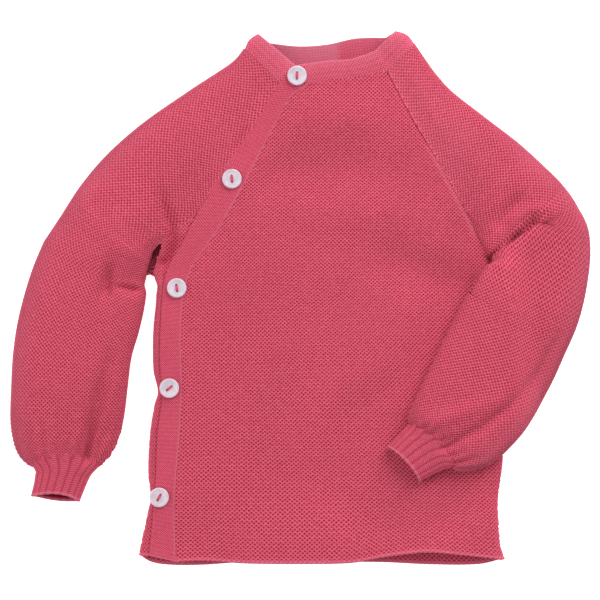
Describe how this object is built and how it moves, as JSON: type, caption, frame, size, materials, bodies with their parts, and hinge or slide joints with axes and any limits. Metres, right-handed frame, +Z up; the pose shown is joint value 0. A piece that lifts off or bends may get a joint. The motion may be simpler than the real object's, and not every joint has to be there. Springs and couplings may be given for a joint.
{
  "type": "baby's wrap-front knitted jumper",
  "caption": "Baby's fine-knit wrap jumper laid flat, with a slanted button band at one side, raglan sleeves, one bent over the front, ribbed cuffs and a round neckband.",
  "frame": {"origin": "middle of the garment's box, on the table that it lies on", "axes": "+X towards the bent left sleeve, +Y from the hem towards the neck, +Z up off the table, out of the front"},
  "size_m": [0.3354, 0.3105, 0.0259],
  "materials": {
    "knit": "matt, slightly hairy stitch-textured wool knit",
    "fine_knit": "matt fine ribbed wool knit",
    "shell_button": "polished, with the lustre of mother of pearl"
  },
  "bodies": {
    "root": {"back": "knit", "front": "knit", "under_front": "knit", "placket": "fine_knit", "sleeve_right": "knit", "sleeve_left": "knit", "cuff_right": "fine_knit", "cuff_left": "fine_knit", "neckband": "fine_knit", "button_1": "shell_button", "button_2": "shell_button", "button_3": "shell_button", "button_4": "shell_button", "button_5": "shell_button"}
  },
  "joints": []
}
